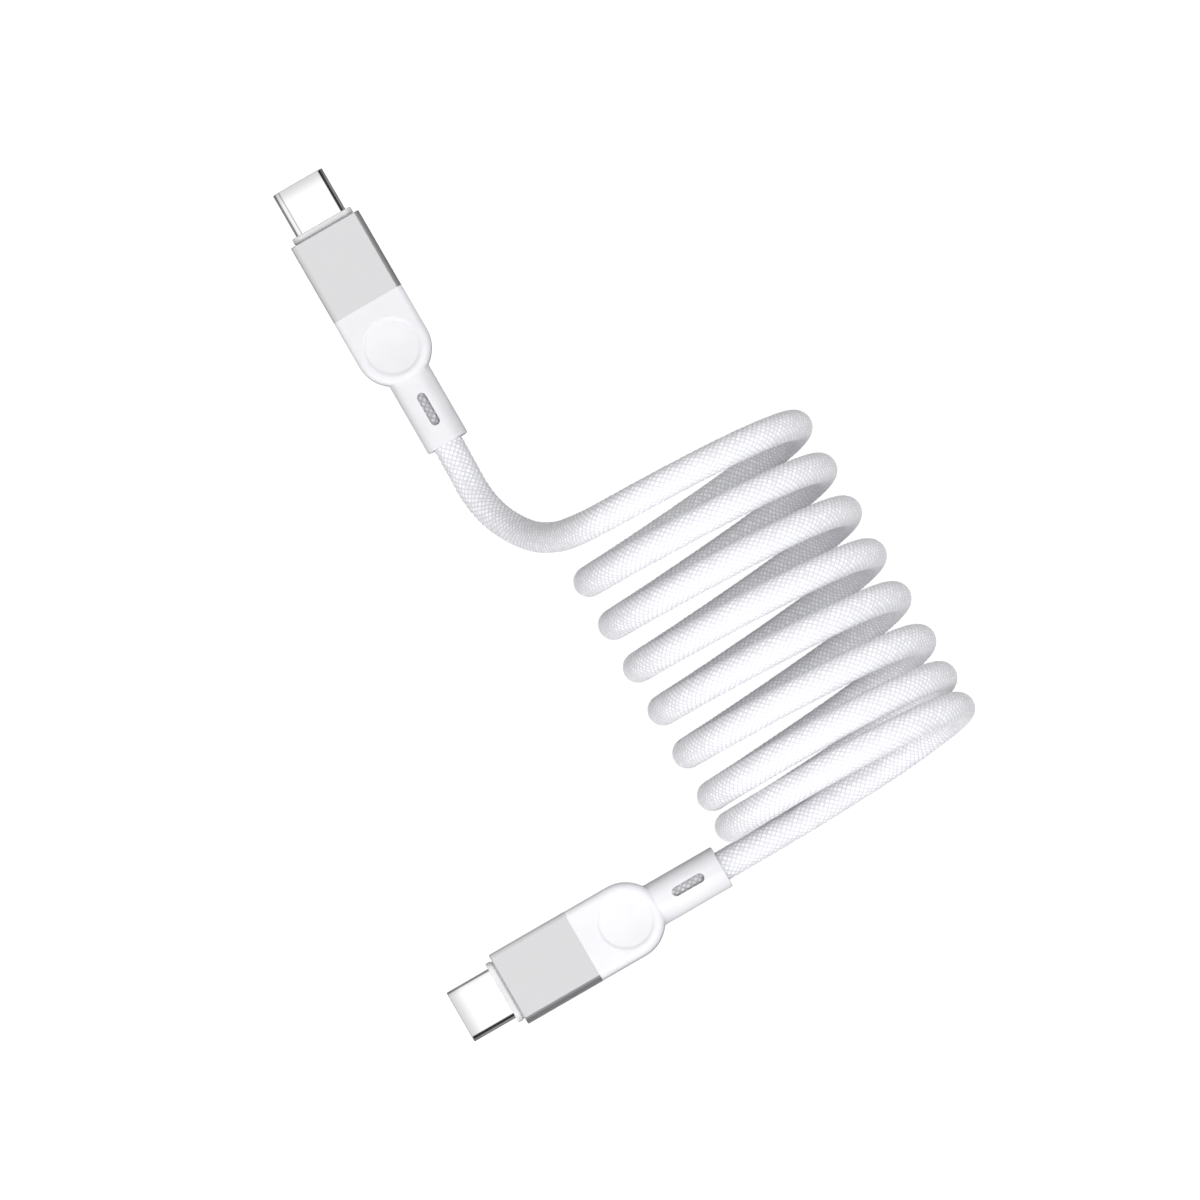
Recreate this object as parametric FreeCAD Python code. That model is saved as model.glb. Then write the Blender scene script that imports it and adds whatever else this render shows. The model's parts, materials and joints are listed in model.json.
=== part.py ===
"""Spring-coiled charging cable with a straight USB-C plug on each end.

The cable lies on a table. Its turns lie on their side, with the coil's axis along Y. Plug A points along +Y
and plug B points along -X. The origin is on the table, under the middle of the box that holds both plugs.
Each plug is modelled once in its own frame: y runs from the cord exit to the tip, x across, z = 0 at mid
height.
"""
import FreeCAD, Part
import math
import os

# Cable
CORD_D = 4.5                # outside diameter over the braid
CORD_R = CORD_D / 2
JACKET_D = 3.9              # inner jacket, where the braid is cut back
JACKET_BORE = 2.7

# Coil: turns counted from its left side (-X), up over the top, towards -Y
COIL_R = 18.9               # radius of the cord's centre line
COIL_OUTER_R = COIL_R + CORD_R
COIL_INNER_R = COIL_R - CORD_R
OPEN_PITCH = 7.25
CLOSED_PITCH = 5.2
OPEN_TURNS = 6.0            # turns at the open pitch, counted from the left side of turn one
TURNS = 7.75                # the cord leaves at the bottom of the last turn

# Plug, outside
PLUG_L = 44.2
PLUG_W = 11.4
PLUG_H = 6.3
NECK_W = 6.6
NECK_H = 6.0
NECK_EDGE = 2.8
NECK_BORE_R = CORD_R + 0.15
NECK_FILLET = 0.6           # hollow corner where the neck meets the head
HEAD_R = PLUG_W / 2
HEAD_Y = 16.2               # centre of the round head
HEAD_EDGE = 1.1             # rounded edges of the head
SEAM_Y = 23.45              # white body meets aluminium sleeve
SLEEVE_END_Y = 36.1
COLLAR_END_Y = 37.2
SLEEVE_WALL = 0.6
SLEEVE_BREAK = 0.1          # broken edge round the sleeve's front end
BEVEL_W = 0.75              # the sleeve's cut long edges, across
BEVEL_H = 0.6               # and down
BEVEL_BULGE = 0.055         # how far the cut stands out from flat
DIMPLE_R = 4.5
DIMPLE_WALL = 0.85          # width of the dimple's curved wall
DIMPLE_RIM_DEPTH = 0.28     # depth at the foot of the wall
DIMPLE_DEPTH = 0.5          # depth in the middle
WINDOW_L = 5.3
WINDOW_W = 1.4
WINDOW_Y = 5.65
CORD_END_Y = 9.0            # the braid stops this far inside the neck

# Collar
COLLAR_W = 9.8
COLLAR_H = 4.7
COLLAR_EDGE = 1.4
COLLAR_START_Y = 34.6
FLANGE_END_Y = 35.6
GROOVE_L = 0.3
GROOVE_DEPTH = 0.15

# USB-C interface
SHELL_W = 8.25
SHELL_H = 2.40
SHELL_WALL = 0.25
SHELL_START_Y = 32.0
FIT = 0.02                  # clearance between fixed pieces, each side
CARRIER_START_Y = 32.4
CARRIER_END_Y = 43.9
CAVITY_W = 6.8
CAVITY_H = 1.0
CAVITY_START_Y = 38.2
CONTACT_PITCH = 0.5
CONTACT_W = 0.25
CONTACT_T = 0.15
UPPER_PINS = (1, 4, 5, 6, 7, 9, 12)
LOWER_PINS = (1, 4, 8, 9, 12)
SPRING_Y = 42.7
SPRING_W = 5.8
LATCH_X = 3.42
LATCH_T = 0.18
LATCH_H = 0.6
LATCH_START_Y = 30.9
LATCH_END_Y = 42.3

# Card, cans and core
CARD_W = 8.0
CARD_T = 0.8
CARD_START_Y = 20.8
CARD_END_Y = 31.8
CARD_NOTCH_Y = 30.8
CAN_W = 9.0
CAN_H = 4.2
CAN_EDGE = 0.8
CAN_WALL = 0.2
CAN_START_Y = 18.2
CAN_STEP_Y = 31.4
CAN_END_Y = 34.4
MOULD_W = 10.1
MOULD_H = 5.0
MOULD_EDGE = 0.6
MOULD_END_Y = 34.55
MOULD_REAR_R = 4.9
MOULD_REAR_Y = 18.0
JACKET_END_Y = 17.6
CRIMP_START_Y = 14.0
CRIMP_L = 3.0
CRIMP_WALL = 0.38
POWER_R = 0.6
SIGNAL_R = 0.25

# Places of the plugs and the coil, before the origin is moved to the middle of the plugs.
# "along" grows from plug A's end of the coil to plug B's end, and is -Y in the finished frame.
PLUG_A_X = -26.6
PLUG_A_ALONG = 33.95        # plug A's cord exit
PLUG_B_X = -22.84           # plug B's cord exit
PLUG_B_ALONG = 107.74
COIL_ALONG = 55.07          # left side of turn one
COIL_LEAN = 0.0222          # the turns lean this much, as a slope of along over -x
LEAD_A_TURN = 1 / 12        # lead A runs into turn one this far round
AXIS_Z = PLUG_H / 2
COIL_Z = COIL_OUTER_R

# Middle of the two plugs in plan
MIDDLE_X = (PLUG_B_X - PLUG_L + PLUG_A_X + HEAD_R) / 2
MIDDLE_ALONG = (PLUG_A_ALONG - PLUG_L + PLUG_B_ALONG + HEAD_R) / 2

# Route of lead A from inside plug A to the top left of the coil, as (x, along, z)
LEAD_A = [
    (PLUG_A_X, PLUG_A_ALONG - CORD_END_Y, AXIS_Z),
    (PLUG_A_X, 35.1, AXIS_Z),
    (-26.9, 45.0, 5.4),
    (-23.6, 51.9, 11.9),
    (-19.9, 54.8, 20.9),
    (-16.6, 55.8, 29.6),
]

# Route of lead B from inside plug B to the bottom of the coil
LEAD_B = [
    (PLUG_B_X - CORD_END_Y, PLUG_B_ALONG, AXIS_Z),
    (-21.5, PLUG_B_ALONG, AXIS_Z),
    (-11.0, 107.62, 2.29),
    (-4.5, 107.47, 2.27),
]

FAR = 100.0                 # larger than the part, for cutting tools


def vec(x, y, z):
    return FreeCAD.Vector(x, y, z)


def block(x0, x1, y0, y1, z0, z1):
    return Part.makeBox(x1 - x0, y1 - y0, z1 - z0, vec(x0, y0, z0))


def rod_y(radius, y0, y1, x=0.0, z=0.0):
    return Part.makeCylinder(radius, y1 - y0, vec(x, y0, z), vec(0, 1, 0))


def rounded_bar(width, height, radius, y0, y1):
    """Bar along y with a rounded rectangular section, centred on the plug's axis."""
    a = width / 2
    b = height / 2
    m = radius * (1 - math.sqrt(0.5))
    edges = [
        Part.LineSegment(vec(-a + radius, y0, -b), vec(a - radius, y0, -b)),
        Part.Arc(vec(a - radius, y0, -b), vec(a - m, y0, -b + m), vec(a, y0, -b + radius)),
        Part.LineSegment(vec(a, y0, -b + radius), vec(a, y0, b - radius)),
        Part.Arc(vec(a, y0, b - radius), vec(a - m, y0, b - m), vec(a - radius, y0, b)),
        Part.LineSegment(vec(a - radius, y0, b), vec(-a + radius, y0, b)),
        Part.Arc(vec(-a + radius, y0, b), vec(-a + m, y0, b - m), vec(-a, y0, b - radius)),
        Part.LineSegment(vec(-a, y0, b - radius), vec(-a, y0, -b + radius)),
        Part.Arc(vec(-a, y0, -b + radius), vec(-a + m, y0, -b + m), vec(-a + radius, y0, -b)),
    ]
    wire = Part.Wire([e.toShape() for e in edges])
    return Part.Face(wire).extrude(vec(0, y1 - y0, 0))


def bevelled_section(width, height, y):
    """Outline across y with flat faces and a slightly bulging cut at each corner."""
    a = width / 2
    b = height / 2
    chord = math.hypot(BEVEL_W, BEVEL_H)
    out_x = a - BEVEL_W / 2 + BEVEL_BULGE * BEVEL_H / chord
    out_z = b - BEVEL_H / 2 + BEVEL_BULGE * BEVEL_W / chord
    edges = []
    for side in (1, -1):
        top = vec(side * (a - BEVEL_W), y, side * b)
        foot = vec(side * a, y, side * (b - BEVEL_H))
        far_foot = vec(side * a, y, -side * (b - BEVEL_H))
        far_top = vec(side * (a - BEVEL_W), y, -side * b)
        edges += [
            Part.LineSegment(vec(-side * (a - BEVEL_W), y, side * b), top),
            Part.Arc(top, vec(side * out_x, y, side * out_z), foot),
            Part.LineSegment(foot, far_foot),
            Part.Arc(far_foot, vec(side * out_x, y, -side * out_z), far_top),
        ]
    return Part.Wire([e.toShape() for e in edges])


def capsule_bar(width, height, y0, y1):
    """Bar along y whose narrow sides are full half circles, as the USB-C outline is."""
    r = height / 2
    c = width / 2 - r
    bar = block(-c, c, y0, y1, -r, r)
    return bar.fuse([rod_y(r, y0, y1, -c), rod_y(r, y0, y1, c)]).removeSplitter()


def round_ended_plate(half_width, centre_y, end_y, z0, z1):
    """Plate in plan: straight sides from end_y back to centre_y, then a half circle."""
    plate = block(-half_width, half_width, centre_y, end_y, z0, z1)
    disc = Part.makeCylinder(half_width, z1 - z0, vec(0, centre_y, z0))
    return plate.fuse(disc).removeSplitter()


def side_profile(points, x0, x1):
    """Solid between x0 and x1 with the outline given as (y, z) points."""
    corners = [vec(x0, y, z) for y, z in points]
    wire = Part.makePolygon(corners + corners[:1])
    return Part.Face(wire).extrude(vec(x1 - x0, 0, 0))


def plan_profile(points, z0, z1):
    """Solid between z0 and z1 with the outline given as (x, y) points."""
    corners = [vec(x, y, z0) for x, y in points]
    wire = Part.makePolygon(corners + corners[:1])
    return Part.Face(wire).extrude(vec(0, 0, z1 - z0))


def mirrored(shape, normal):
    return shape.mirror(vec(0, 0, 0), normal)


def polished(shape, radius, chosen):
    """Fillet the edges that chosen(edge) picks."""
    edges = [e for e in shape.Edges if chosen(e)]
    return shape.makeFillet(radius, edges)


def flat_at_y(edge, y):
    box = edge.BoundBox
    return abs(box.YMin - y) < 1e-4 and abs(box.YMax - y) < 1e-4


def flat_at_z(edge, z):
    box = edge.BoundBox
    return abs(box.ZMin - z) < 1e-4 and abs(box.ZMax - z) < 1e-4


# ---- plug pieces, in the plug's own frame ----

def make_shell():
    """Drawn shell, open at the mouth, with a rounded rim."""
    outer = capsule_bar(SHELL_W, SHELL_H, SHELL_START_Y, PLUG_L)
    outer = polished(outer, 0.12, lambda e: flat_at_y(e, PLUG_L))
    bore_w = SHELL_W - 2 * SHELL_WALL
    bore_h = SHELL_H - 2 * SHELL_WALL
    bore = capsule_bar(bore_w, bore_h, SHELL_START_Y - 1, PLUG_L + 1)
    return outer.cut(bore)


def pin_x(pin):
    return (pin - 6.5) * CONTACT_PITCH


def contact_channels(pins):
    """Room for the contact strips in the carrier's roof."""
    half = CONTACT_W / 2 + FIT
    floor = CAVITY_H / 2
    return [
        block(pin_x(p) - half, pin_x(p) + half, CARRIER_START_Y - 1, SPRING_Y - 0.1, floor, floor + 0.26)
        for p in pins
    ]


def make_contact_carrier():
    """Insulator in the shell: tongue cavity, contact channels, latch pockets and spring notches."""
    wide = SHELL_W - 2 * SHELL_WALL - 2 * FIT
    high = SHELL_H - 2 * SHELL_WALL - 2 * FIT
    body = capsule_bar(wide, high, CARRIER_START_Y, CARRIER_END_Y)
    a = CAVITY_W / 2
    b = CAVITY_H / 2
    cuts = [block(-a, a, CAVITY_START_Y, CARRIER_END_Y + 1, -b, b)]
    cuts += contact_channels(UPPER_PINS)
    cuts += [mirrored(c, vec(0, 0, 1)) for c in contact_channels(LOWER_PINS)]
    pocket_in = LATCH_X - 0.04
    pocket_out = LATCH_X + LATCH_T + 0.04
    pocket_z = LATCH_H / 2 + 0.04
    pocket = block(pocket_in, pocket_out, CARRIER_START_Y - 1, LATCH_END_Y + 0.2, -pocket_z, pocket_z)
    cuts += [pocket, mirrored(pocket, vec(1, 0, 0))]
    cuts.append(block(-pocket_out, pocket_out, CARRIER_START_Y - 1, 35.3, -0.13, 0.13))
    notch = block(-SPRING_W / 2 - 0.05, SPRING_W / 2 + 0.05, SPRING_Y - 0.05, CARRIER_END_Y + 1, b - 0.1, 1.2)
    cuts += [notch, mirrored(notch, vec(0, 0, 1))]
    return body.cut(cuts)


def contact_strip(pin):
    """One sprung strip: tail on the card, straight beam, and a bump that meets the socket's tongue."""
    t = CONTACT_T
    outline = [
        (30.2, 0.40), (31.75, 0.40), (32.05, 0.55), (40.6, 0.55), (41.4, 0.30), (41.9, 0.30), (42.3, 0.52),
        (42.5, 0.52), (42.5, 0.52 + t), (42.2, 0.52 + t), (41.8, 0.30 + t), (41.5, 0.30 + t),
        (40.7, 0.55 + t), (31.95, 0.55 + t), (31.65, 0.40 + t), (30.2, 0.40 + t),
    ]
    x = pin_x(pin)
    return side_profile(outline, x - CONTACT_W / 2, x + CONTACT_W / 2)


def make_upper_contacts():
    return Part.makeCompound([contact_strip(p) for p in UPPER_PINS])


def make_lower_contacts():
    strips = [contact_strip(p) for p in LOWER_PINS]
    return Part.makeCompound([mirrored(s, vec(0, 0, 1)) for s in strips])


def make_latch_frame():
    """One U of spring steel: a bar through the carrier and an arm on each side, with a bump near its tip."""
    x0 = LATCH_X
    x1 = LATCH_X + LATCH_T
    arm_outline = [
        (x0, LATCH_START_Y), (x1, LATCH_START_Y), (x1, LATCH_END_Y), (x0, LATCH_END_Y),
        (x0, 42.0), (x0 - 0.32, 41.7), (x0 - 0.32, 41.4), (x0, 40.9),
    ]
    arm = plan_profile(arm_outline, -LATCH_H / 2, LATCH_H / 2)
    bar = block(-x0 - 0.02, x0 + 0.02, 32.6, 35.2, -0.1, 0.1)
    return bar.fuse([arm, mirrored(arm, vec(1, 0, 0))])


def make_upper_ground_spring():
    """Strip against the shell's roof with three fingers that bend into the mouth."""
    top = SHELL_H / 2 - SHELL_WALL - FIT
    low = top - 0.12
    strip = block(-SPRING_W / 2, SPRING_W / 2, SPRING_Y, CARRIER_END_Y - 0.15, low, top)
    finger = [(SPRING_Y + 0.75, low), (SPRING_Y + 0.2, 0.42), (SPRING_Y + 0.32, 0.38), (SPRING_Y + 0.95, low)]
    fingers = [side_profile(finger, x - 0.5, x + 0.5) for x in (-1.8, 0.0, 1.8)]
    return strip.fuse(fingers)


def make_lower_ground_spring():
    return mirrored(make_upper_ground_spring(), vec(0, 0, 1))


def make_paddle_card():
    """Card with a notch in each front corner for the latch frame's legs."""
    half = CARD_W / 2
    card = block(-half, half, CARD_START_Y, CARD_END_Y, -CARD_T / 2, CARD_T / 2)
    notch = block(LATCH_X - 0.02, half + 1, CARD_NOTCH_Y, CARD_END_Y + 1, -1, 1)
    return card.cut([notch, mirrored(notch, vec(1, 0, 0))])


def make_marker_chip():
    top = CARD_T / 2
    return polished(block(-1.0, 1.0, 26.0, 28.0, top, top + 0.6), 0.08, lambda e: flat_at_z(e, top + 0.6))


def make_chip_capacitors():
    """Six small chip parts, four on the upper face and two on the lower."""
    top = CARD_T / 2
    places = [(x, y) for x in (-2.6, 2.6) for y in (25.8, 27.6)]
    upper = [block(x - 0.25, x + 0.25, y, y + 1.0, top, top + 0.35) for x, y in places]
    lower = [block(x - 0.25, x + 0.25, 26.6, 27.6, -top - 0.35, -top) for x in (-1.5, 1.5)]
    return Part.makeCompound(upper + lower)


def round_wire(points, radius):
    """Wire of straight runs with round corners, through (x, y, z) points."""
    pieces = []
    for start, end in zip(points, points[1:]):
        run = vec(*end) - vec(*start)
        pieces.append(Part.makeCylinder(radius, run.Length, vec(*start), run))
    for corner in points[1:-1]:
        pieces.append(Part.makeSphere(radius, vec(*corner)))
    return pieces[0].fuse(pieces[1:]).removeSplitter()


def make_power_cores():
    """Supply and return wires, side by side in the jacket and spread out to the card's pads."""
    rest_z = CARD_T / 2 + POWER_R + 0.02
    wires = []
    for side in (-1, 1):
        route = [
            (side * 0.63, CORD_END_Y, 0.0),
            (side * 0.63, 18.4, 0.0),
            (side * 2.3, 20.6, rest_z),
            (side * 2.3, 22.8, rest_z),
        ]
        wires.append(round_wire(route, POWER_R))
    return Part.makeCompound(wires)


def make_signal_cores():
    """Two data wires above the power cores and the configuration wire below them."""
    rest_z = CARD_T / 2 + SIGNAL_R + 0.02
    wires = []
    for x, spread, face in ((-0.28, -0.6, 1), (0.28, 0.6, 1), (0.0, 0.0, -1)):
        route = [
            (x, CORD_END_Y, face * 0.9),
            (x, 18.4, face * 0.9),
            (spread, 20.6, face * rest_z),
            (spread, 22.4, face * rest_z),
        ]
        wires.append(round_wire(route, SIGNAL_R))
    return Part.makeCompound(wires)


def solder_dome(x, y, radius, face):
    ball = Part.makeSphere(radius, vec(x, y, face * CARD_T / 2))
    z0, z1 = (CARD_T / 2, 2.0) if face > 0 else (-2.0, -CARD_T / 2)
    return ball.common(block(x - 2, x + 2, y - 2, y + 2, z0, z1))


def make_solder_joints():
    domes = [solder_dome(x, 23.35, 0.5, 1) for x in (-2.3, 2.3)]
    domes += [solder_dome(x, 22.75, 0.3, 1) for x in (-0.6, 0.6)]
    domes.append(solder_dome(0.0, 22.75, 0.3, -1))
    return Part.makeCompound(domes)


def can_envelope(inset):
    """Outside of the closed cans, or their inside when inset is the wall."""
    wide = CAN_W - 2 * inset
    high = CAN_H - 2 * inset
    box = rounded_bar(wide, high, CAN_EDGE - inset, CAN_START_Y + inset, CAN_STEP_Y - inset)
    grip_w = SHELL_W + 2 * FIT + 2 * (CAN_WALL - inset)
    grip_h = SHELL_H + 2 * FIT + 2 * (CAN_WALL - inset)
    grip = capsule_bar(grip_w, grip_h, CAN_STEP_Y - 0.5, CAN_END_Y + inset)
    return box.fuse(grip).removeSplitter()


def make_shield_cans():
    """Pressed can round the card that also grips the shell, open at the rear for the wires."""
    can = can_envelope(0.0).cut(can_envelope(CAN_WALL))
    return can.cut(rod_y(1.5, CAN_START_Y - 1, CAN_START_Y + 1))


def make_upper_shield_can():
    return make_shield_cans().common(block(-FAR, FAR, 0, FAR, 0, FAR))


def make_lower_shield_can():
    return make_shield_cans().common(block(-FAR, FAR, 0, FAR, -FAR, 0))


def make_jacket_end():
    return rod_y(JACKET_D / 2, CORD_END_Y, JACKET_END_Y).cut(rod_y(JACKET_BORE / 2, 0, FAR))


def make_crimp_ring():
    inner = JACKET_D / 2 + FIT
    ring = rod_y(inner + CRIMP_WALL, CRIMP_START_Y, CRIMP_START_Y + CRIMP_L)
    return ring.cut(rod_y(inner, 0, FAR))


def mould_envelope():
    """Outside of the hard core: rounded bar, with a half round rear end in plan."""
    bar = rounded_bar(MOULD_W, MOULD_H, MOULD_EDGE, MOULD_REAR_Y - MOULD_REAR_R, MOULD_END_Y)
    rear = round_ended_plate(MOULD_REAR_R, MOULD_REAR_Y, 23.0, -MOULD_H, MOULD_H)
    front = block(-MOULD_W, MOULD_W, 23.0, FAR, -MOULD_H, MOULD_H)
    return bar.common(rear.fuse(front))


def make_inner_mould():
    """Hard core moulded round the cans, the crimp ring and the jacket."""
    jacket = rod_y(JACKET_D / 2, 0, JACKET_END_Y)
    wires = rod_y(1.5, JACKET_END_Y - 0.5, CAN_START_Y + 0.5)
    crimp = rod_y(JACKET_D / 2 + FIT + CRIMP_WALL, CRIMP_START_Y, CRIMP_START_Y + CRIMP_L)
    shell = capsule_bar(SHELL_W + 2 * FIT, SHELL_H + 2 * FIT, CAN_END_Y - 0.2, MOULD_END_Y + 1)
    return mould_envelope().cut([can_envelope(0.0), jacket, wires, crimp, shell])


def make_front_collar():
    """Ring round the shell, with a flange that the sleeve's lip holds and a groove in front of the sleeve."""
    ring = rounded_bar(COLLAR_W, COLLAR_H, COLLAR_EDGE, COLLAR_START_Y, COLLAR_END_Y)
    ring = polished(ring, 0.15, lambda e: flat_at_y(e, COLLAR_END_Y))
    flange = rounded_bar(MOULD_W, MOULD_H, MOULD_EDGE, COLLAR_START_Y, FLANGE_END_Y)
    groove_end = SLEEVE_END_Y + GROOVE_L
    groove = rounded_bar(PLUG_W, PLUG_H, COLLAR_EDGE, SLEEVE_END_Y, groove_end)
    floor_w = COLLAR_W - 2 * GROOVE_DEPTH
    floor_h = COLLAR_H - 2 * GROOVE_DEPTH
    groove = groove.cut(rounded_bar(floor_w, floor_h, COLLAR_EDGE - GROOVE_DEPTH, 0, FAR))
    hole = capsule_bar(SHELL_W + 2 * FIT, SHELL_H + 2 * FIT, 0, FAR)
    return ring.fuse(flange).cut([groove, hole])


def make_aluminium_sleeve():
    """Tube with cut long edges and a lip round its front opening."""
    sections = [
        bevelled_section(PLUG_W, PLUG_H, SEAM_Y),
        bevelled_section(PLUG_W, PLUG_H, SLEEVE_END_Y - SLEEVE_BREAK),
        bevelled_section(PLUG_W - 2 * SLEEVE_BREAK, PLUG_H - 2 * SLEEVE_BREAK, SLEEVE_END_Y),
    ]
    outer = Part.makeLoft(sections, True, True)
    bore_w = PLUG_W - 2 * SLEEVE_WALL
    bore_h = PLUG_H - 2 * SLEEVE_WALL
    bore = rounded_bar(bore_w, bore_h, MOULD_EDGE, 0, FLANGE_END_Y + 0.05)
    mouth = rounded_bar(COLLAR_W + 2 * FIT, COLLAR_H + 2 * FIT, COLLAR_EDGE, 0, FAR)
    return outer.cut([bore, mouth])


def dimple():
    """Shallow dish cut into the head's upper face: hollow floor, and a wall that curves out and then in."""
    top = PLUG_H / 2
    foot_r = DIMPLE_R - DIMPLE_WALL
    half_w = DIMPLE_WALL / 2
    half_d = DIMPLE_RIM_DEPTH / 2
    curve_r = (half_w ** 2 + half_d ** 2) / (2 * half_d)
    turn = math.asin(half_w / curve_r) / 2
    out_x = curve_r * math.sin(turn)
    out_z = curve_r * (1 - math.cos(turn))
    rim = vec(DIMPLE_R, 0, top)
    middle = vec(DIMPLE_R - half_w, 0, top - half_d)
    foot = vec(foot_r, 0, top - DIMPLE_RIM_DEPTH)
    floor_middle = vec(0, 0, top - DIMPLE_DEPTH)
    sag = (DIMPLE_DEPTH - DIMPLE_RIM_DEPTH) / 4
    edges = [
        Part.Arc(floor_middle, vec(foot_r / 2, 0, top - DIMPLE_DEPTH + sag), foot),
        Part.Arc(foot, vec(foot_r + out_x, 0, foot.z + out_z), middle),
        Part.Arc(middle, vec(DIMPLE_R - out_x, 0, top - out_z), rim),
        Part.LineSegment(rim, vec(DIMPLE_R, 0, top + 1)),
        Part.LineSegment(vec(DIMPLE_R, 0, top + 1), vec(0, 0, top + 1)),
        Part.LineSegment(vec(0, 0, top + 1), floor_middle),
    ]
    face = Part.Face(Part.Wire([e.toShape() for e in edges]))
    dish = face.revolve(vec(0, 0, 0), vec(0, 0, 1), 360)
    dish.translate(vec(0, HEAD_Y, 0))
    return dish


def slot_window():
    """Slot through the neck's upper and lower walls."""
    r = WINDOW_W / 2
    y0 = WINDOW_Y - WINDOW_L / 2 + r
    y1 = WINDOW_Y + WINDOW_L / 2 - r
    slot = block(-r, r, y0, y1, -FAR, FAR)
    ends = [Part.makeCylinder(r, 2 * FAR, vec(0, y, -FAR)) for y in (y0, y1)]
    return slot.fuse(ends).removeSplitter()


def on_broad_outline(edge):
    """Whether the edge runs round a broad face of the head, but not along the seam."""
    half = PLUG_H / 2
    return (flat_at_z(edge, half) or flat_at_z(edge, -half)) and not flat_at_y(edge, SEAM_Y)


def at_neck_joint(edge):
    """Whether the edge lies where the neck's outside runs into the round head."""
    box = edge.BoundBox
    rear = HEAD_Y - HEAD_R
    front = HEAD_Y - math.sqrt(HEAD_R ** 2 - (NECK_W / 2) ** 2)
    return box.YMin > rear - 0.01 and box.YMax < front + HEAD_EDGE


def make_rear_body():
    """White moulding: round head with a dimple on each face, and the neck round the cord."""
    half = PLUG_H / 2
    head = round_ended_plate(HEAD_R, HEAD_Y, SEAM_Y, -half, half)
    head = polished(head, HEAD_EDGE, on_broad_outline)
    neck = rounded_bar(NECK_W, NECK_H, NECK_EDGE, 0, HEAD_Y)
    neck = polished(neck, 0.25, lambda e: flat_at_y(e, 0))
    body = polished(head.fuse(neck), NECK_FILLET, at_neck_joint)
    bore = rod_y(NECK_BORE_R, -1, MOULD_REAR_Y)
    return body.cut([mould_envelope(), bore, slot_window(), dimple(), mirrored(dimple(), vec(0, 0, 1))])


PLUG_PIECES = {
    "shell": make_shell,
    "contact_carrier": make_contact_carrier,
    "upper_contacts": make_upper_contacts,
    "lower_contacts": make_lower_contacts,
    "latch_frame": make_latch_frame,
    "upper_ground_spring": make_upper_ground_spring,
    "lower_ground_spring": make_lower_ground_spring,
    "paddle_card": make_paddle_card,
    "marker_chip": make_marker_chip,
    "chip_capacitors": make_chip_capacitors,
    "solder_joints": make_solder_joints,
    "upper_shield_can": make_upper_shield_can,
    "lower_shield_can": make_lower_shield_can,
    "jacket_end": make_jacket_end,
    "crimp_ring": make_crimp_ring,
    "power_cores": make_power_cores,
    "signal_cores": make_signal_cores,
    "inner_mould": make_inner_mould,
    "front_collar": make_front_collar,
    "aluminium_sleeve": make_aluminium_sleeve,
    "rear_body": make_rear_body,
}


# ---- cable ----

def placed(point):
    """Row position of an (x, along, z) point."""
    x, along, z = point
    return vec(x - MIDDLE_X, MIDDLE_ALONG - along, z)


def tube(name, route, radius):
    """Round tube along straight runs joined by tangent arcs, each as large as its two runs allow."""
    points = [placed(p) for p in route]
    edges = []
    start = points[0]
    radii = []
    for before, corner, after in zip(points, points[1:], points[2:]):
        arm_in = before - corner
        arm_out = after - corner
        reach = 0.45 * min(arm_in.Length, arm_out.Length)
        turn = math.pi - arm_in.getAngle(arm_out)
        radii.append(reach / math.tan(turn / 2))
        arm_in.normalize()
        arm_out.normalize()
        enter = corner + arm_in * reach
        leave = corner + arm_out * reach
        bisector = (arm_in + arm_out).normalize()
        depth = radii[-1] / math.cos(turn / 2) - radii[-1]
        edges.append(Part.LineSegment(start, enter).toShape())
        edges.append(Part.Arc(enter, corner + bisector * depth, leave).toShape())
        start = leave
    edges.append(Part.LineSegment(start, points[-1]).toShape())
    path = Part.Wire(edges)
    ring = Part.Wire([Part.Circle(points[0], points[1] - points[0], radius).toShape()])
    solid = path.makePipeShell([ring], True, False)
    expected = math.pi * radius ** 2 * path.Length
    print(name, "length", round(path.Length, 2), "radii", [round(r, 1) for r in radii],
          "volume", round(solid.Volume, 1), "section x length", round(expected, 1))
    return solid


def coil_along(turn):
    """Place of the coil's centre line along the axis, at its left side, after so many turns."""
    open_part = min(turn, OPEN_TURNS)
    return COIL_ALONG + OPEN_PITCH * open_part + CLOSED_PITCH * (turn - open_part)


def coil_length():
    """Length of cord in the coil, turn by turn as a helix."""
    around = 2 * math.pi * COIL_R
    opened = (OPEN_TURNS - LEAD_A_TURN) * math.hypot(around, OPEN_PITCH)
    closed = (TURNS - OPEN_TURNS) * math.hypot(around, CLOSED_PITCH)
    return opened + closed


def coil_rod(radius):
    """Cylinder as long as the coil, on the coil's axis."""
    lean = COIL_LEAN * COIL_R
    near = coil_along(0) + lean - CORD_R
    far = coil_along(TURNS) + CORD_R
    return Part.makeCylinder(radius, far - near, placed((0, near, COIL_Z)), vec(0, -1, 0))


def make_coil():
    """Outer shape of the coil: a tube whose wall is one cord thick."""
    return coil_rod(COIL_OUTER_R).cut(coil_rod(COIL_INNER_R))


def make_leads():
    """The two free stretches of cable, cut where they run into the coil."""
    coil = coil_rod(COIL_OUTER_R)
    lead_a = tube("lead_a", LEAD_A, CORD_R).cut(coil)
    lead_b = tube("lead_b", LEAD_B, CORD_R).cut(coil)
    return lead_a, lead_b


def plug_nodes(prefix, placement):
    """All pieces of one plug, moved to their place."""
    nodes = {}
    for name, make in PLUG_PIECES.items():
        shape = make()
        shape.Placement = placement.multiply(shape.Placement)
        nodes[prefix + name] = shape
    return nodes


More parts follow.
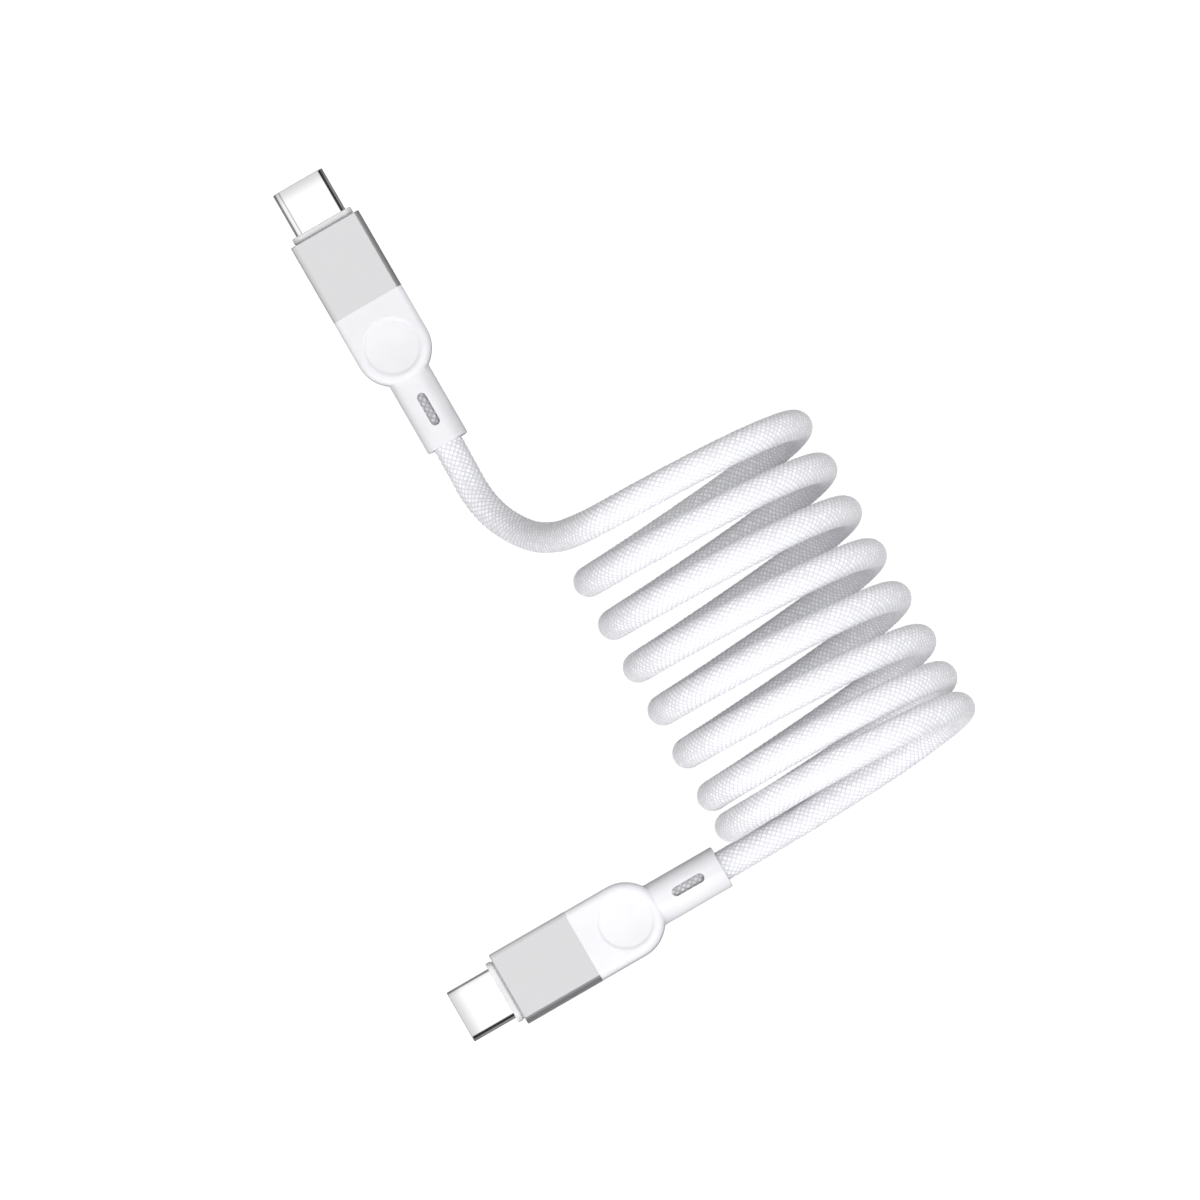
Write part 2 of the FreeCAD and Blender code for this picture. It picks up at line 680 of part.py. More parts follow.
def all_nodes():
    up = vec(0, 0, 1)
    exit_a = placed((PLUG_A_X, PLUG_A_ALONG, AXIS_Z))
    exit_b = placed((PLUG_B_X, PLUG_B_ALONG, AXIS_Z))
    nodes = plug_nodes("plug_a_", FreeCAD.Placement(exit_a, FreeCAD.Rotation(up, 0)))
    nodes.update(plug_nodes("plug_b_", FreeCAD.Placement(exit_b, FreeCAD.Rotation(up, 90))))
    nodes["coil"] = make_coil()
    nodes["lead_a"], nodes["lead_b"] = make_leads()
    return nodes


def main():
    os.makedirs("parts", exist_ok=True)
    nodes = all_nodes()
    for name, shape in nodes.items():
        solids = shape.Solids
        whole = solids[0] if len(solids) == 1 else Part.makeCompound(solids)
        whole.exportStep("parts/" + name + ".step")
        box = whole.BoundBox
        print(name, "solids", len(solids), "valid", whole.isValid(), "volume", round(whole.Volume, 2),
              "box", [round(v, 2) for v in (box.XMin, box.YMin, box.ZMin, box.XMax, box.YMax, box.ZMax)])
    print("cord in the coil", round(coil_length(), 1))


main()
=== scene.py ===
"""Looks of the spring-coiled charging cable: braided cord, plug finishes, camera, floor and light."""

import json
import math

import bpy
import numpy as np
from mathutils import Matrix, Vector


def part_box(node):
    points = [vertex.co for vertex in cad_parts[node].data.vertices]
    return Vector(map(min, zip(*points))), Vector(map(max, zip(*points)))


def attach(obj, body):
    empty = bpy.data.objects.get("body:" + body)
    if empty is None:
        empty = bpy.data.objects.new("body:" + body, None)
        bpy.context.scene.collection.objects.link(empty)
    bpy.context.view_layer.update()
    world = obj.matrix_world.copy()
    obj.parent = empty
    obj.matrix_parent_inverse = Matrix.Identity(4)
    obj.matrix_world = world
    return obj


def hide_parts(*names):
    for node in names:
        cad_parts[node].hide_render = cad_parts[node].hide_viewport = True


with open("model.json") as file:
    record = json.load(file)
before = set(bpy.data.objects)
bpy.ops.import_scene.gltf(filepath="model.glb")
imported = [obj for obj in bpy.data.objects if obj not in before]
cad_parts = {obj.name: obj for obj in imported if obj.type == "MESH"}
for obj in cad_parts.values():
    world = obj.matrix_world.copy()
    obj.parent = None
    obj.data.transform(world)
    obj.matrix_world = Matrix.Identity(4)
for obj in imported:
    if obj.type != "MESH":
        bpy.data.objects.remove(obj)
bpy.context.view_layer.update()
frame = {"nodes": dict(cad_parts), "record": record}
NODES = frame["nodes"]
MM = 0.001

# ---- sizes; every length is in metres ----

CORD_R = 2.25 * MM
COIL_R = 18.9 * MM
OPEN_PITCH = 7.25 * MM
CLOSED_PITCH = 5.2 * MM
LAST_PITCH = 3.9 * MM       # over the last quarter turn, where the cord runs out straight to plug B
OPEN_TURNS = 6.0
CLOSED_TURNS = 7.5
TURNS = 7.75
COIL_LEAN = 0.0222          # slope of the turns, along over -x
FIRST_STEP = 3              # the coil's points start this many steps up its left side
STEPS_A_TURN = 24
STEPS_A_POINT = 16          # steps of the smooth line for each of the route's points
CORD_IN_NECK = 9.0 * MM     # length of cord inside each plug's neck

BRAID_CELLS_ROUND = 15      # diamonds round the cord
BRAID_CELL = 0.94 * MM      # length of one diamond along the cord
BRAID_RELIEF = 0.13 * MM    # from the bottom of a groove to the top of a yarn
BRAID_UNEVEN = 0.3          # how far a yarn's height wanders, as a share of the relief
BRAID_WANDER = 0.3          # and how far it wanders sideways, as a share of half a diamond
BRAID_SEED = 5

# Places that the frame gives. "along" grows from plug A's end of the coil to plug B's end, and is -Y.
COIL_LOW, COIL_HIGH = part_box("coil")
BODY_A_LOW, BODY_A_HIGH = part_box("plug_a_rear_body")
COIL_X = (COIL_LOW.x + COIL_HIGH.x) / 2
COIL_Z = COIL_R + CORD_R + BRAID_RELIEF / 2
AXIS_Z = (BODY_A_LOW.z + BODY_A_HIGH.z) / 2
EXIT_A = Vector(((BODY_A_LOW.x + BODY_A_HIGH.x) / 2, BODY_A_LOW.y, AXIS_Z))
ALONG_A = 33.95 * MM        # plug A's cord exit, in the route's own measure
Y_AT_ALONG_0 = EXIT_A.y + ALONG_A

# The route's points, in mm: x from the coil's axis, along, and z
LEAD_A = [
    (-26.6, 24.95, 3.15),
    (-26.6, 35.1, 3.15),
    (-26.9, 45.0, 5.4),
    (-23.6, 51.9, 11.9),
    (-19.9, 54.8, 20.9),
    (-16.6, 55.8, 29.6),
]
LEAD_B = [
    (-4.5, 107.47, 2.27),
    (-11.0, 107.62, 2.29),
    (-21.5, 107.74, 3.15),
    (-31.84, 107.74, 3.15),
]
COIL_ALONG = 55.07 * MM     # where the coil's first turn starts


# ---- cord ----

def placed(x, along, z):
    """Where a point of the route is in the frame."""
    return Vector((COIL_X + x, Y_AT_ALONG_0 - along, z))


def coil_along(turn):
    """Place of the coil's centre line along the axis after so many turns, before the lean."""
    opened = min(turn, OPEN_TURNS)
    closed = min(max(turn - OPEN_TURNS, 0.0), CLOSED_TURNS - OPEN_TURNS)
    last = max(turn - CLOSED_TURNS, 0.0)
    return COIL_ALONG + OPEN_PITCH * opened + CLOSED_PITCH * closed + LAST_PITCH * last


def coil_points():
    """Control points of the coil's turns: from the left side, over the top and down the right side."""
    step = 1 / STEPS_A_TURN
    control_r = COIL_R / math.cos(math.pi / STEPS_A_TURN)
    points = []
    for i in range(FIRST_STEP, round(TURNS * STEPS_A_TURN)):
        turn = i * step
        angle = 2 * math.pi * turn
        x = -control_r * math.cos(angle)
        z = COIL_Z + control_r * math.sin(angle)
        points.append(placed(x, coil_along(turn) - COIL_LEAN * x, z))
    return points


def cord_route():
    lead_a = [placed(x * MM, along * MM, z * MM) for x, along, z in LEAD_A]
    lead_b = [placed(x * MM, along * MM, z * MM) for x, along, z in LEAD_B]
    return lead_a + coil_points() + lead_b


def spline_points(route):
    """Points of a smooth NURBS line with the route's points as its control points."""
    data = bpy.data.curves.new("cord_line", "CURVE")
    data.dimensions = "3D"
    data.resolution_u = STEPS_A_POINT
    spline = data.splines.new("NURBS")
    spline.points.add(len(route) - 1)
    for control, p in zip(spline.points, route):
        control.co = (p.x, p.y, p.z, 1.0)
    spline.order_u = 3
    spline.use_endpoint_u = True
    holder = bpy.data.objects.new("cord_line", data)
    bpy.context.scene.collection.objects.link(holder)
    bpy.context.view_layer.update()
    line = bpy.data.meshes.new_from_object(holder)
    points = np.array([v.co for v in line.vertices])
    bpy.data.objects.remove(holder)
    bpy.data.meshes.remove(line)
    return points


def evenly(points, spacing):
    """Points of the line, spaced evenly as near to spacing as its length allows, and that length."""
    steps = np.linalg.norm(np.diff(points, axis=0), axis=1)
    travel = np.concatenate([[0.0], np.cumsum(steps)])
    count = round(travel[-1] / spacing) + 1
    wanted = np.linspace(0.0, travel[-1], count)
    spaced = np.column_stack([np.interp(wanted, travel, points[:, k]) for k in range(3)])
    return spaced, travel[-1]


def carried_frames(centres):
    """Two directions across the line at each centre, carried along it without twist."""
    tangents = np.gradient(centres, axis=0)
    tangents /= np.linalg.norm(tangents, axis=1)[:, None]
    across = np.zeros_like(centres)
    side = np.cross(tangents[0], (0.0, 0.0, 1.0))
    for i, tangent in enumerate(tangents):
        side = side - tangent * side.dot(tangent)
        side /= np.linalg.norm(side)
        across[i] = side
    return across, np.cross(tangents, across)


def braid_tube(name, centres, radius):
    """Tube whose surface is a slightly uneven diamond braid: every second vertex is the top of a yarn."""
    around = 2 * BRAID_CELLS_ROUND
    rings = len(centres)
    chance = np.random.default_rng(BRAID_SEED)
    across, upward = carried_frames(centres)
    groove = np.add.outer(np.arange(rings), np.arange(around)) % 2
    reach = radius + BRAID_RELIEF * (0.5 - groove - BRAID_UNEVEN * chance.random((rings, around)))
    step = 2 * np.pi / around
    angle = step * (np.arange(around) + BRAID_WANDER * (chance.random((rings, around)) - 0.5))
    sideways = np.cos(angle)[:, :, None] * across[:, None, :]
    spokes = sideways + np.sin(angle)[:, :, None] * upward[:, None, :]
    shift = BRAID_WANDER * (chance.random((rings, around)) - 0.5)
    travel = np.gradient(centres, axis=0)[:, None, :] * shift[:, :, None]
    vertices = centres[:, None, :] + spokes * reach[:, :, None] + travel
    faces, cells = braid_faces(rings, around)
    data = bpy.data.meshes.new(name)
    data.from_pydata(vertices.reshape(-1, 3).tolist(), [], faces)
    weave = data.uv_layers.new(name="weave")
    weave.data.foreach_set("uv", np.array(cells, np.float32).ravel())
    data.polygons.foreach_set("use_smooth", [True] * len(data.polygons))
    data.update()
    tube = bpy.data.objects.new(name, data)
    bpy.context.scene.collection.objects.link(tube)
    return tube


def braid_faces(rings, around):
    """Triangles of the braid, and the place of each of their corners, counted in braid cells.

    Each quad is split along its groove, and a flat rim closes each end.
    """
    faces = []
    cells = []
    for i in range(rings - 1):
        for j in range(around):
            k = (j + 1) % around
            corners = [i * around + j, i * around + k, (i + 1) * around + k, (i + 1) * around + j]
            left, right = j / 2, (j + 1) / 2
            near, far = i / 2, (i + 1) / 2
            places = [(left, near), (right, near), (right, far), (left, far)]
            low = 1 if (i + j) % 2 == 0 else 0
            for pick in ((low, low + 1, low + 2), (low, low + 2, (low + 3) % 4)):
                faces.append([corners[n] for n in pick])
                cells.extend(places[n] for n in pick)
    for ring, order in ((0, -1), (rings - 1, 1)):
        rim = [ring * around + j for j in range(around)][::order]
        faces.append(rim)
        cells.extend([(0.0, 0.0)] * around)
    return faces, cells


def make_cord(centres, finish):
    """The whole cord, from inside plug A to inside plug B, as one braided tube."""
    cord = braid_tube("braided_cord", centres, CORD_R)
    cord.data.materials.append(finish)
    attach(cord, "root")
    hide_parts("lead_a", "coil", "lead_b")


# ---- materials ----

GROOVE_WIDTH = 0.28         # width of the painted shade on each side of a groove, as a share of a diamond's width
FILAMENTS = 5               # in each yarn
FILAMENT_RELIEF = 0.006 * MM
YARN_RANGE = 0.5            # how far the dullest yarn goes towards the groove's colour
# The groove colour is painted shade in the creases between yarns; the yarn colour is the braid's own white.
PAINTED_GROOVE_SHADE, YARN_WHITE = (0.56, 0.56, 0.60), (0.88, 0.88, 0.89)
# Painted shade on the stretch of braid inside each neck, seen through the windows.
PAINTED_NECK_GROOVE, PAINTED_NECK_YARN = (0.32, 0.32, 0.335), (0.60, 0.60, 0.62)
GROOVE_ROUGHNESS, YARN_ROUGHNESS = 0.85, 0.62

ALUMINIUM = (0.68, 0.68, 0.69)
SATIN_ROUGHNESS = (0.36, 0.46)
CUT_ROUGHNESS = 0.38        # of the sleeve's long edges
BROAD_FACE = (0.955, 0.995)     # how upright a normal is where the long edge becomes the broad face

STEEL = (0.88, 0.88, 0.89)
STEEL_ROUGHNESS = (0.065, 0.1)
MOUTH_SHADE_LENGTH = 2.4 * MM       # length of the shell's painted shade, from its mouth
MOUTH_SHADE_TONE = 0.66           # the share of the steel's colour that the painted shade leaves at the mouth

METAL_GRAIN = 0.15 * MM
METAL_RELIEF = 0.0015 * MM


class Shader:
    """A node material with one Principled shader, and short ways to add nodes to it."""

    def __init__(self, name, colour, roughness, metallic=0.0):
        self.material = bpy.data.materials.new(name)
        self.material.use_nodes = True
        self.tree = self.material.node_tree
        self.surface = self.tree.nodes["Principled BSDF"]
        self.surface.inputs["Base Color"].default_value = (*colour, 1.0)
        self.surface.inputs["Roughness"].default_value = roughness
        self.surface.inputs["Metallic"].default_value = metallic

    def node(self, kind, **settings):
        made = self.tree.nodes.new(kind)
        for key, value in settings.items():
            setattr(made, key, value)
        return made

    def link(self, source, target):
        self.tree.links.new(source, target)

    def math(self, operation, first, second=0.0, third=0.0):
        made = self.node("ShaderNodeMath", operation=operation)
        for socket, value in zip(made.inputs, (first, second, third)):
            if isinstance(value, (int, float)):
                socket.default_value = value
            else:
                self.link(value, socket)
        return made.outputs[0]

    def spread(self, value, low, high, to_low, to_high):
        """value, carried from the range low..high to to_low..to_high with soft ends."""
        made = self.node("ShaderNodeMapRange", interpolation_type="SMOOTHSTEP")
        self.link(value, made.inputs["Value"])
        for key, number in (("From Min", low), ("From Max", high), ("To Min", to_low), ("To Max", to_high)):
            made.inputs[key].default_value = number
        return made.outputs["Result"]

    def grain(self, size, detail=3.0):
        """Noise fixed to the object, with features of that size. Its values gather around a half."""
        place = self.node("ShaderNodeTexCoord")
        noise = self.node("ShaderNodeTexNoise")
        noise.inputs["Scale"].default_value = 1 / size
        noise.inputs["Detail"].default_value = detail
        self.link(place.outputs["Object"], noise.inputs["Vector"])
        return noise.outputs["Fac"]

    def clear_grain(self, noise, low=0.0, high=1.0):
        """The noise with more contrast, so that it fills the range low..high."""
        return self.spread(noise, 0.3, 0.7, low, high)

    def blend(self, factor, first, second):
        """Colour that goes from first to second as factor goes from 0 to 1; each is a colour or an output."""
        mix = self.node("ShaderNodeMix", data_type="RGBA")
        self.link(factor, mix.inputs["Factor"])
        for colour, socket in ((first, mix.inputs["A"]), (second, mix.inputs["B"])):
            if isinstance(colour, tuple):
                socket.default_value = (*colour, 1.0)
            else:
                self.link(colour, socket)
        return mix.outputs["Result"]

    def tint(self, factor, first, second):
        self.link(self.blend(factor, first, second), self.surface.inputs["Base Color"])

    def rough(self, noise, low, high):
        self.link(self.clear_grain(noise, low, high), self.surface.inputs["Roughness"])

    def bump(self, height, distance, strength):
        made = self.node("ShaderNodeBump")
        made.inputs["Distance"].default_value = distance
        made.inputs["Strength"].default_value = strength
        self.link(height, made.inputs["Height"])
        self.link(made.outputs["Normal"], self.surface.inputs["Normal"])


def shade(colour, factor):
    return tuple(c * factor for c in colour)


def from_groove(s, ways):
    """Distance from the nearest groove, where a diamond is one wide."""
    gaps = []
    for way in ways:
        in_diamond = s.math("FLOORED_MODULO", way, 1.0)
        gaps.append(s.math("ABSOLUTE", s.math("SUBTRACT", in_diamond, 0.5)))
    return s.math("MINIMUM", *gaps)


def lot_of(s, diamonds):
    """A number from 0 to 1 for each diamond, drawn by its place."""
    place = s.node("ShaderNodeCombineXYZ")
    for diamond, socket in zip(diamonds, place.inputs):
        s.link(diamond, socket)
    lot = s.node("ShaderNodeTexWhiteNoise", noise_dimensions="2D")
    s.link(place.outputs["Vector"], lot.inputs["Vector"])
    return lot.outputs["Value"]


def filaments(s, ways, diamonds):
    """Height of the filaments, which run one way in every second diamond and the other way in the rest."""
    parity = s.math("FLOORED_MODULO", s.math("ADD", *diamonds), 2.0)
    strands = [s.math("SINE", s.math("MULTIPLY", way, 2 * math.pi * FILAMENTS)) for way in ways]
    turned = s.math("MULTIPLY", parity, s.math("SUBTRACT", strands[1], strands[0]))
    return s.math("ADD", strands[0], turned)


def braid_material(cord_cells):
    """White nylon braid: bright yarns with fine filaments, and painted shade in the grooves between them.

    The stretch inside each neck is painted darker, as painted shade that shows through the windows.
    """
    s = Shader("white_braid", YARN_WHITE, YARN_ROUGHNESS)
    s.surface.inputs["Sheen Weight"].default_value = 0.25
    s.surface.inputs["Sheen Roughness"].default_value = 0.4
    place = s.node("ShaderNodeUVMap", uv_map="weave")
    split = s.node("ShaderNodeSeparateXYZ")
    s.link(place.outputs["UV"], split.inputs["Vector"])
    around, along = split.outputs["X"], split.outputs["Y"]
    ways = [s.math("ADD", around, along), s.math("SUBTRACT", around, along)]
    diamonds = [s.math("ROUND", way) for way in ways]
    # yarn goes from 0 at a groove to 1 on a yarn's top: the mask of the painted groove shade
    yarn = s.spread(from_groove(s, ways), 0.0, GROOVE_WIDTH, 0.0, 1.0)
    tone = s.math("MULTIPLY", yarn, s.math("MULTIPLY_ADD", lot_of(s, diamonds), -YARN_RANGE, 1.0))
    from_end = s.math("MINIMUM", along, s.math("SUBTRACT", cord_cells, along))
    # The stretch inside each neck gets the darker colours of painted shade.
    in_neck = s.math("LESS_THAN", from_end, CORD_IN_NECK / BRAID_CELL)
    outside_neck = s.blend(tone, PAINTED_GROOVE_SHADE, YARN_WHITE)
    painted_neck_shade = s.blend(tone, PAINTED_NECK_GROOVE, PAINTED_NECK_YARN)
    s.tint(in_neck, outside_neck, painted_neck_shade)
    s.bump(filaments(s, ways, diamonds), FILAMENT_RELIEF, 0.6)
    roughness = s.spread(tone, 0.0, 1.0, GROOVE_ROUGHNESS, YARN_ROUGHNESS)
    s.link(roughness, s.surface.inputs["Roughness"])
    return s.material


def moulded(name, colour, roughness, variation=0.04):
    """Moulded plastic: faint cloudiness, uneven gloss and a very fine eroded surface."""
    s = Shader(name, colour, roughness)
    cloud = s.clear_grain(s.grain(5 * MM, detail=2.0))
    s.tint(cloud, shade(colour, 1 - variation), colour)
    s.rough(s.grain(1.5 * MM), roughness * 0.9, roughness * 1.1)
    s.bump(s.grain(0.25 * MM), 0.004 * MM, 0.35)
    return s.material


def bare_metal(name, colour, roughness):
    """Bare metal with a very fine grain in its tone, its gloss and its surface."""
    s = Shader(name, colour, roughness, metallic=1.0)
    grain = s.grain(METAL_GRAIN, detail=2.0)
    s.tint(grain, shade(colour, 0.96), colour)
    s.rough(grain, roughness * 0.8, roughness * 1.25)
    s.bump(grain, METAL_RELIEF, 0.3)
    return s.material


def shell_steel():
    """Polished steel whose colour darkens, as painted shade, over the last of the way to the plug's mouth."""
    s = Shader("polished_steel", STEEL, STEEL_ROUGHNESS[0], metallic=1.0)
    place = s.node("ShaderNodeSeparateXYZ")
    s.link(s.node("ShaderNodeTexCoord").outputs["Object"], place.inputs["Vector"])
    from_mouth_a = s.math("SUBTRACT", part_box("plug_a_shell")[1].y, place.outputs["Y"])
    from_mouth_b = s.math("SUBTRACT", place.outputs["X"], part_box("plug_b_shell")[0].x)
    from_mouth = s.math("MINIMUM", from_mouth_a, from_mouth_b)
    # Painted shade: the steel's colour darkens towards the mouth.
    s.tint(s.spread(from_mouth, 0.0, MOUTH_SHADE_LENGTH, 0.0, 1.0), shade(STEEL, MOUTH_SHADE_TONE), STEEL)
    grain = s.grain(METAL_GRAIN, detail=2.0)
    s.rough(grain, *STEEL_ROUGHNESS)
    s.bump(grain, METAL_RELIEF, 0.3)
    return s.material


def satin_aluminium():
    """Fine blasted broad faces, and long edges that were cut and have no speckle."""
    s = Shader("satin_aluminium", ALUMINIUM, CUT_ROUGHNESS, metallic=1.0)
    facing = s.node("ShaderNodeSeparateXYZ")
    s.link(s.node("ShaderNodeNewGeometry").outputs["Normal"], facing.inputs["Vector"])
    broad = s.spread(s.math("ABSOLUTE", facing.outputs["Z"]), *BROAD_FACE, 0.0, 1.0)
    speckle = s.grain(0.06 * MM, detail=2.0)
    blasted = s.math("MULTIPLY", broad, s.clear_grain(speckle))
    s.tint(blasted, shade(ALUMINIUM, 1.02), shade(ALUMINIUM, 0.98))
    satin = s.clear_grain(speckle, *SATIN_ROUGHNESS)
    rougher = s.math("SUBTRACT", satin, CUT_ROUGHNESS)
    roughness = s.math("MULTIPLY_ADD", broad, rougher, CUT_ROUGHNESS)
    s.link(roughness, s.surface.inputs["Roughness"])
    s.bump(s.math("MULTIPLY", speckle, broad), 0.003 * MM, 0.4)
    return s.material


def wire_material(name, low, high):
    """Wire insulation whose colour goes from low to high across the plug, so that neighbours differ."""
    s = Shader(name, low, 0.35)
    which_wire = s.spread(s.grain(1.2 * MM, detail=0.0), 0.45, 0.55, 0.0, 1.0)
    s.tint(which_wire, low, high)
    s.bump(s.grain(0.2 * MM), 0.002 * MM, 0.3)
    return s.material


def finishes(cord_cells):
    """One material for each of the record's slots."""
    return {
        "white_braid": braid_material(cord_cells),
        "white_plastic": moulded("white_plastic", (0.64, 0.64, 0.66), 0.38),
        "satin_aluminium": satin_aluminium(),
        "collar_plastic": moulded("collar_plastic", (0.60, 0.60, 0.61), 0.42),
        "polished_steel": shell_steel(),
        "insulator_plastic": moulded("insulator_plastic", (0.03, 0.03, 0.032), 0.45),
        "gold_contacts": bare_metal("gold_contacts", (0.95, 0.70, 0.33), 0.2),
        "spring_steel": bare_metal("spring_steel", (0.62, 0.62, 0.64), 0.28),
        "circuit_board": moulded("circuit_board", (0.02, 0.16, 0.07), 0.3, 0.3),
        "chip_resin": moulded("chip_resin", (0.02, 0.02, 0.022), 0.5),
        "chip_ceramic": moulded("chip_ceramic", (0.45, 0.32, 0.20), 0.35, 0.2),
        "solder": bare_metal("solder", (0.75, 0.76, 0.78), 0.22),
        "tinned_steel": bare_metal("tinned_steel", (0.68, 0.68, 0.69), 0.32),
        "jacket_rubber": moulded("jacket_rubber", (0.82, 0.82, 0.83), 0.55),
        "copper_ring": bare_metal("copper_ring", (0.90, 0.52, 0.36), 0.25),
        "core_insulation": wire_material("core_insulation", (0.55, 0.03, 0.03), (0.03, 0.03, 0.035)),
        "core_moulding": moulded("core_moulding", (0.80, 0.79, 0.74), 0.5),
    }


def dress_nodes(materials):
    """Gives each CAD node the finish of its slot."""
    slots = {part["node"]: part["material_slot"] for part in frame["record"]["subparts"]}
    for name, node in NODES.items():
        node.data.materials.clear()
        node.data.materials.append(materials[slots[name]])


# ---- camera, floor and light ----

VIEW_WIDTH = 175.7 * MM
VIEW_ROLL = math.radians(60)      # from the frame's +X to the picture's upward direction
VIEW_LEAN = math.radians(2.9)     # the camera looks straight down but for this, from plug B's side
VIEW_CENTRE = Vector((25.16 * MM, -14.3 * MM, COIL_Z))
CAMERA_AWAY = 0.6

FLOOR_HALF = 1.5
FLOOR_DROP = 0.02 * MM            # keeps the floor just clear of the cable
FLOOR_DIM = (0.18, 0.18, 0.185)   # its own colour, so dim that it throws little light on the cable
FLOOR_GLOW = (0.93, 0.95)         # the brightness that only the camera sees, on top of that
FLOOR_MOTTLE = 60 * MM

# Each softbox: its name, place, side and radiance
SOFTBOXES = [("key", (0.20, -0.28, 0.78), 0.7, 5.1), ("fill", (-0.60, -0.40, 0.30), 0.6, 3.0)]

# The room's brightness, in pairs: how far a direction points along the axis, and the brightness there
TENT_AXIS = (0.0, -0.3, 1.0)
TENT_LIGHT = [(0.0, 1.10), (0.45, 0.6), (1.0, 0.2)]
PANEL_AXIS = (0.0, 0.0, 1.0)
PANEL_LIGHT = [(0.0, 0.90), (1.0, 1.2)]
GAP_AXIS = (-1.0, 0.0, 0.0)
GAP_LIGHT = [(0.25, 1.0), (0.38, 0.5), (0.52, 0.5), (0.66, 1.0)]
FLAG_AXES = [(1.0, 1.0, 0.0), (1.0, -1.0, 0.0)]
FLAG_LIGHT = [(0.60, 1.0), (0.72, 0.04)]


def add_camera():
    data = bpy.data.cameras.new("camera")
    data.type = "ORTHO"
    data.ortho_scale = VIEW_WIDTH
    data.clip_start = 0.01
    data.clip_end = 10.0
    camera = bpy.data.objects.new("camera", data)
    bpy.context.scene.collection.objects.link(camera)
    leaned = Vector((0.0, math.cos(VIEW_LEAN), math.sin(VIEW_LEAN)))
    level = Vector((1.0, 0.0, 0.0))
    up = level * math.cos(VIEW_ROLL) + leaned * math.sin(VIEW_ROLL)
    right = level * math.sin(VIEW_ROLL) - leaned * math.cos(VIEW_ROLL)
    back = right.cross(up)
    turn = Matrix((right, up, back)).transposed()
    camera.matrix_world = Matrix.Translation(VIEW_CENTRE + back * CAMERA_AWAY) @ turn.to_4x4()
    bpy.context.scene.camera = camera


def add_floor():
    """Table top that looks white and faintly mottled, but throws little light back on the cable."""
    data = bpy.data.meshes.new("floor")
    corners = [(-1, -1), (1, -1), (1, 1), (-1, 1)]
    data.from_pydata([(x * FLOOR_HALF, y * FLOOR_HALF, 0) for x, y in corners], [], [(0, 1, 2, 3)])
    floor = bpy.data.objects.new("floor", data)
    floor.location.z = -FLOOR_DROP
    bpy.context.scene.collection.objects.link(floor)
    s = Shader("floor_white", FLOOR_DIM, 0.7)
    s.surface.inputs["Specular IOR Level"].default_value = 0.1
    s.surface.inputs["Emission Color"].default_value = (1.0, 1.0, 1.0, 1.0)
    mottle = s.grain(FLOOR_MOTTLE)
    seen = s.node("ShaderNodeLightPath").outputs["Is Camera Ray"]
    glow = s.math("MULTIPLY", seen, s.clear_grain(mottle, *FLOOR_GLOW))
    s.link(glow, s.surface.inputs["Emission Strength"])
    s.tint(mottle, FLOOR_DIM, shade(FLOOR_DIM, 1.02))
    data.materials.append(s.material)


def add_softbox(name, place, side, radiance):
    """Square light that faces the middle of the view. It isn't seen in mirrors."""
    data = bpy.data.lights.new(name, "AREA")
    data.shape = "SQUARE"
    data.size = side
    data.energy = radiance * math.pi * side * side
    lamp = bpy.data.objects.new(name, data)
    lamp.location = place
    lamp.visible_glossy = False
    lamp.rotation_euler = (Vector(place) - VIEW_CENTRE).to_track_quat("Z", "Y").to_euler()
    bpy.context.scene.collection.objects.link(lamp)


def ramp(tree, factor, stops):
    """Grey level that follows factor through the (place, level) stops."""
    made = tree.nodes.new("ShaderNodeValToRGB")
    while len(made.color_ramp.elements) < len(stops):
        made.color_ramp.elements.new(0.5)
    for element, (place, level) in zip(made.color_ramp.elements, stops):
        element.position = place
        element.color = (level, level, level, 1.0)
    tree.links.new(factor, made.inputs["Fac"])
    return made.outputs["Color"]


def towards(tree, axis):
    """How far the direction that is looked in points along an axis."""
    direction = tree.nodes.new("ShaderNodeTexCoord")
    made = tree.nodes.new("ShaderNodeVectorMath")
    made.operation = "DOT_PRODUCT"
    made.inputs[1].default_value = axis
    tree.links.new(direction.outputs["Generated"], made.inputs[0])
    return made.outputs["Value"]


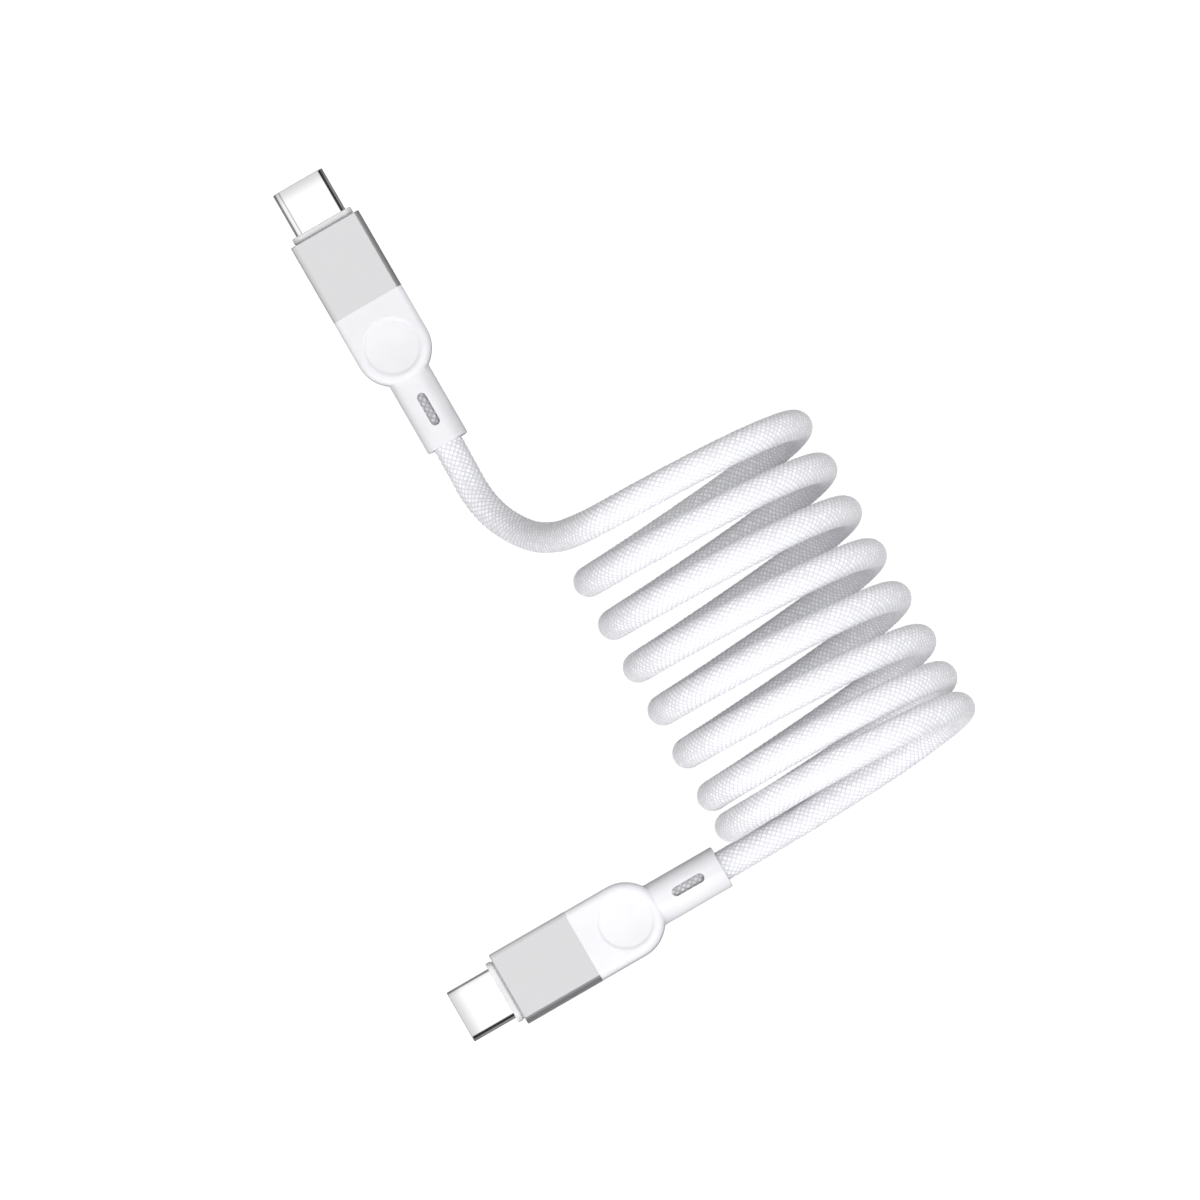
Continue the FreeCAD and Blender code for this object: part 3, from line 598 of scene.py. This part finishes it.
def calculated(tree, operation, *values):
    """Result of one sum on outputs of the world's nodes."""
    made = tree.nodes.new("ShaderNodeMath")
    made.operation = operation
    for value, socket in zip(values, made.inputs):
        tree.links.new(value, socket)
    return made.outputs["Value"]


def mixed(tree, blend, factor, first, second):
    """Two colours, blended as the factor says."""
    made = tree.nodes.new("ShaderNodeMix")
    made.data_type = "RGBA"
    made.blend_type = blend
    for value, socket in ((factor, "Factor"), (first, "A"), (second, "B")):
        if isinstance(value, float):
            made.inputs[socket].default_value = value
        else:
            tree.links.new(value, made.inputs[socket])
    return made.outputs["Result"]


def add_room():
    """A tent, brightest low down, lights the cable. Mirrors see bright panels, with a gap and two flags.

    The flags are black, narrow and upright, and stand on the +X and -Y sides.
    """
    world = bpy.data.worlds.new("studio")
    bpy.context.scene.world = world
    world.use_nodes = True
    tree = world.node_tree
    tent = ramp(tree, towards(tree, TENT_AXIS), TENT_LIGHT)
    panels = ramp(tree, towards(tree, PANEL_AXIS), PANEL_LIGHT)
    gap = ramp(tree, towards(tree, GAP_AXIS), GAP_LIGHT)
    either_way = calculated(tree, "ABSOLUTE", towards(tree, FLAG_AXES[0]))
    at_flag = calculated(tree, "MINIMUM", either_way, towards(tree, FLAG_AXES[1]))
    flags = ramp(tree, at_flag, FLAG_LIGHT)
    mirrored = mixed(tree, "MULTIPLY", 1.0, mixed(tree, "MULTIPLY", 1.0, panels, gap), flags)
    in_mirror = tree.nodes.new("ShaderNodeLightPath").outputs["Is Glossy Ray"]
    light = mixed(tree, "MIX", in_mirror, tent, mirrored)
    tree.links.new(light, tree.nodes["Background"].inputs["Color"])


def add_light():
    """The room, and two softboxes on the -Y side that give round shapes their shading."""
    for softbox in SOFTBOXES:
        add_softbox(*softbox)
    add_room()
    bpy.context.scene.view_settings.view_transform = "Standard"


add_camera()
centres, length = evenly(spline_points(cord_route()), BRAID_CELL / 2)
materials = finishes(length / BRAID_CELL)
make_cord(centres, materials["white_braid"])
dress_nodes(materials)
add_floor()
add_light()
